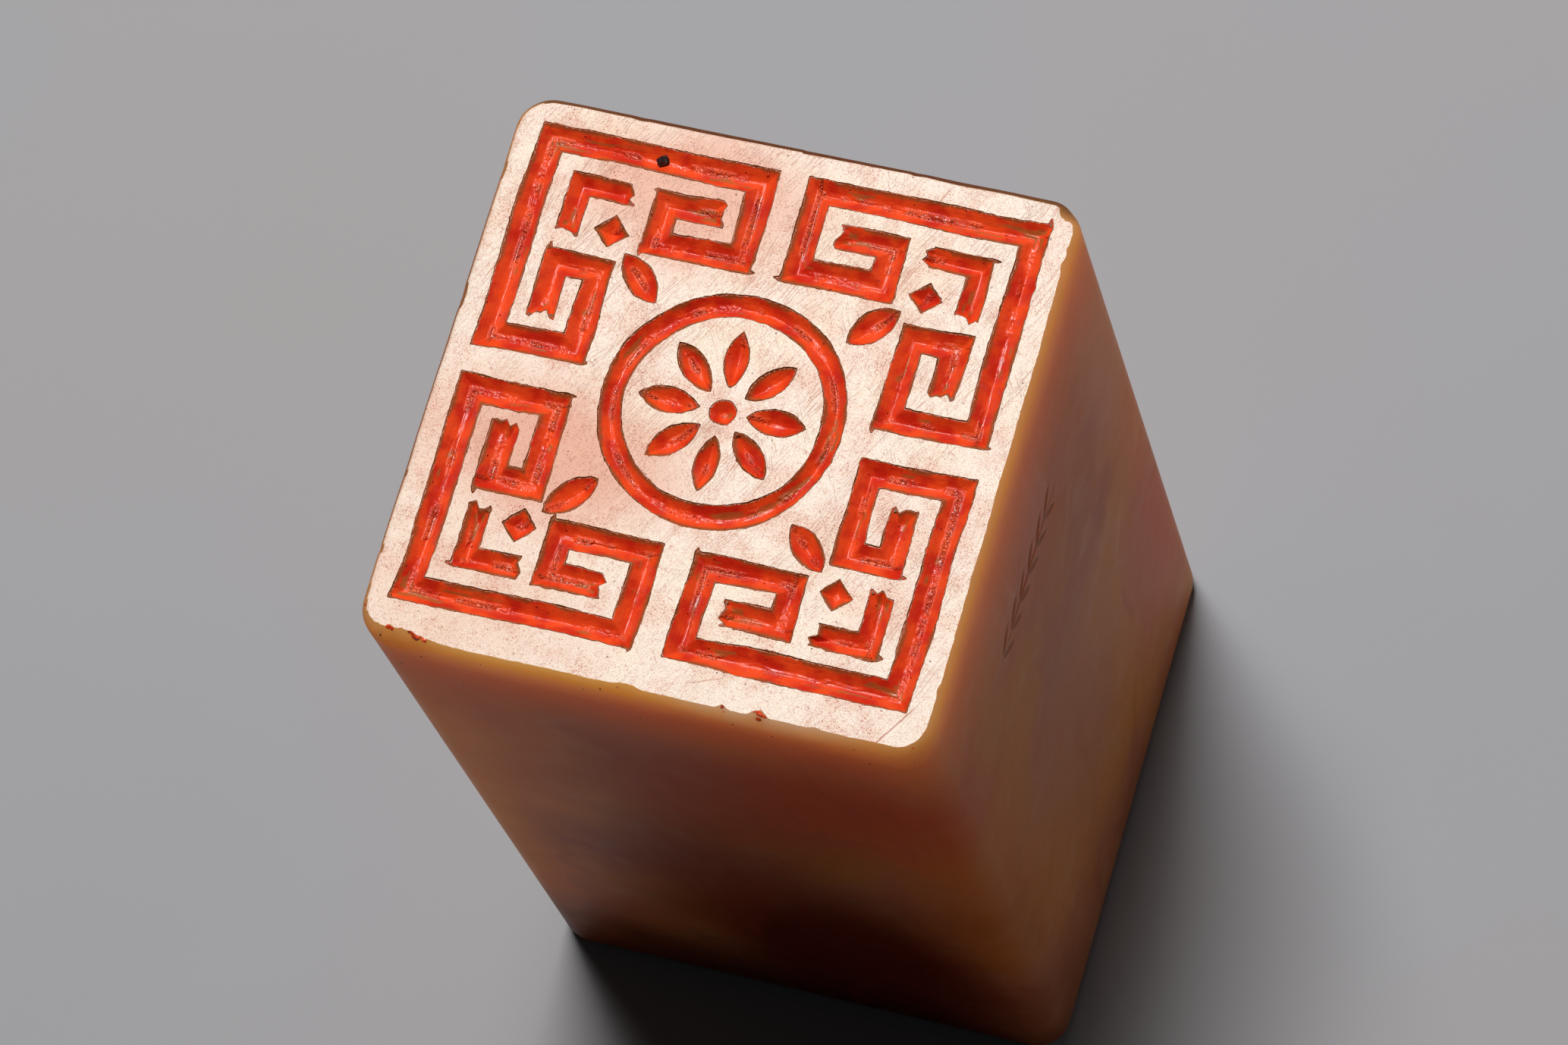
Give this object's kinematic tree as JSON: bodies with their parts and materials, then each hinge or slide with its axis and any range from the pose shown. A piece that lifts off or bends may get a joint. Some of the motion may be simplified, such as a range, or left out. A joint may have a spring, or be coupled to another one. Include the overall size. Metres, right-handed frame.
{
  "type": "seal stamp",
  "caption": "Square stone hand seal standing on its plain end, with corner frets and a ringed flower cut in its upper face and red seal paste left in the cuts.",
  "frame": {"origin": "centre of the plain end that the stone stands on", "axes": "+Z from the plain end to the carved face; -Y towards the side with the wider bare margin; +X to the right seen from that side"},
  "size_m": [0.028, 0.028, 0.049],
  "materials": {
    "stone": "waxy polished sides in ochre and mauve brown, pale ground face",
    "seal_paste": "oily orange red paste, lumpy and semi gloss",
    "grit": "broken dark grain, semi gloss"
  },
  "bodies": {
    "root": {"stone_body": "stone", "paste_fret_back_left": "seal_paste", "paste_elbow_back_left": "seal_paste", "paste_seed_back_left": "seal_paste", "paste_leaf_back_left": "seal_paste", "paste_fret_back_right": "seal_paste", "paste_elbow_back_right": "seal_paste", "paste_seed_back_right": "seal_paste", "paste_leaf_back_right": "seal_paste", "paste_fret_front_left": "seal_paste", "paste_elbow_front_left": "seal_paste", "paste_seed_front_left": "seal_paste", "paste_leaf_front_left": "seal_paste", "paste_fret_front_right": "seal_paste", "paste_elbow_front_right": "seal_paste", "paste_seed_front_right": "seal_paste", "paste_leaf_front_right": "seal_paste", "paste_petal_right": "seal_paste", "paste_petal_back_right": "seal_paste", "paste_petal_back": "seal_paste", "paste_petal_back_left": "seal_paste", "paste_petal_left": "seal_paste", "paste_petal_front_left": "seal_paste", "paste_petal_front": "seal_paste", "paste_petal_front_right": "seal_paste", "paste_ring": "seal_paste", "paste_centre_dot": "seal_paste", "grit_grain": "grit"}
  },
  "joints": []
}
